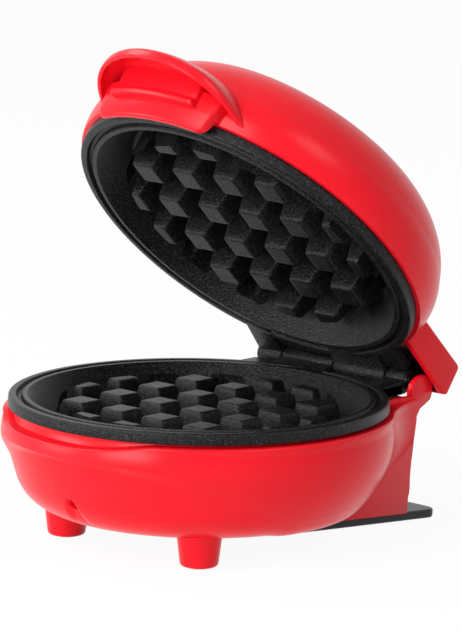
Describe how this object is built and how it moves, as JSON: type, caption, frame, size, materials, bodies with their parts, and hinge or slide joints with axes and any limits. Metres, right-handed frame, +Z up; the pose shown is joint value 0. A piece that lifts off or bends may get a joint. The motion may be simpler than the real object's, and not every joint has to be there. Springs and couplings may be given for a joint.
{
  "type": "waffle maker",
  "caption": "Small round waffle maker with a bowl-shaped base, domed lid on a rear knuckle hinge, hooded grip and two non-stick waffle grids, stored open.",
  "frame": {"origin": "on the table, under the middle of the object's bounding box; the bowl's axis stands 9.4 mm in front of it", "axes": "+X to the right seen from the front, +Y to the rear where the hinge is, +Z up"},
  "size_m": [0.1248, 0.1438, 0.1566],
  "materials": {
    "red_abs": "glossy moulded ABS",
    "nonstick_aluminium": "textured charcoal non-stick coating on die-cast aluminium",
    "black_plastic": "satin moulded",
    "rubber": "matte",
    "steel": "zinc plated",
    "black_steel": "black oxide",
    "plated_steel": "satin",
    "heater_sheath": "dull oxidised",
    "phenolic": "moulded phenolic",
    "white_nylon": "moulded",
    "red_lens": "clear tinted",
    "green_lens": "clear tinted",
    "lamp_glass": "clear"
  },
  "bodies": {
    "base": {"lower_housing": "red_abs", "foot_pads": "rubber", "rear_stand": "black_plastic", "stand_screws": "steel", "cord_grommet": "rubber", "terminal_block": "white_nylon", "lower_plate": "nonstick_aluminium", "lower_heater": "heater_sheath", "lower_reflector": "plated_steel", "lower_thermostat": "phenolic", "thermal_fuse": "plated_steel", "lower_plate_screws": "steel", "hinge_pin": "black_steel", "hinge_washer": "black_steel", "hinge_clip": "black_steel"},
    "lid": {"lid_housing": "red_abs", "lid_handle": "red_abs", "upper_plate": "nonstick_aluminium", "upper_heater": "heater_sheath", "upper_reflector": "plated_steel", "upper_thermostat": "phenolic", "upper_plate_screws": "steel", "power_lens": "red_lens", "ready_lens": "green_lens", "lamp_holder": "white_nylon", "indicator_lamps": "lamp_glass"}
  },
  "joints": [
    {"name": "lid_hinge", "type": "hinge", "parent": "base", "child": "lid", "pos_m": [0, 0.0558, 0.0458], "axis": [-1, 0, 0], "range_deg": [-45, 60]}
  ]
}
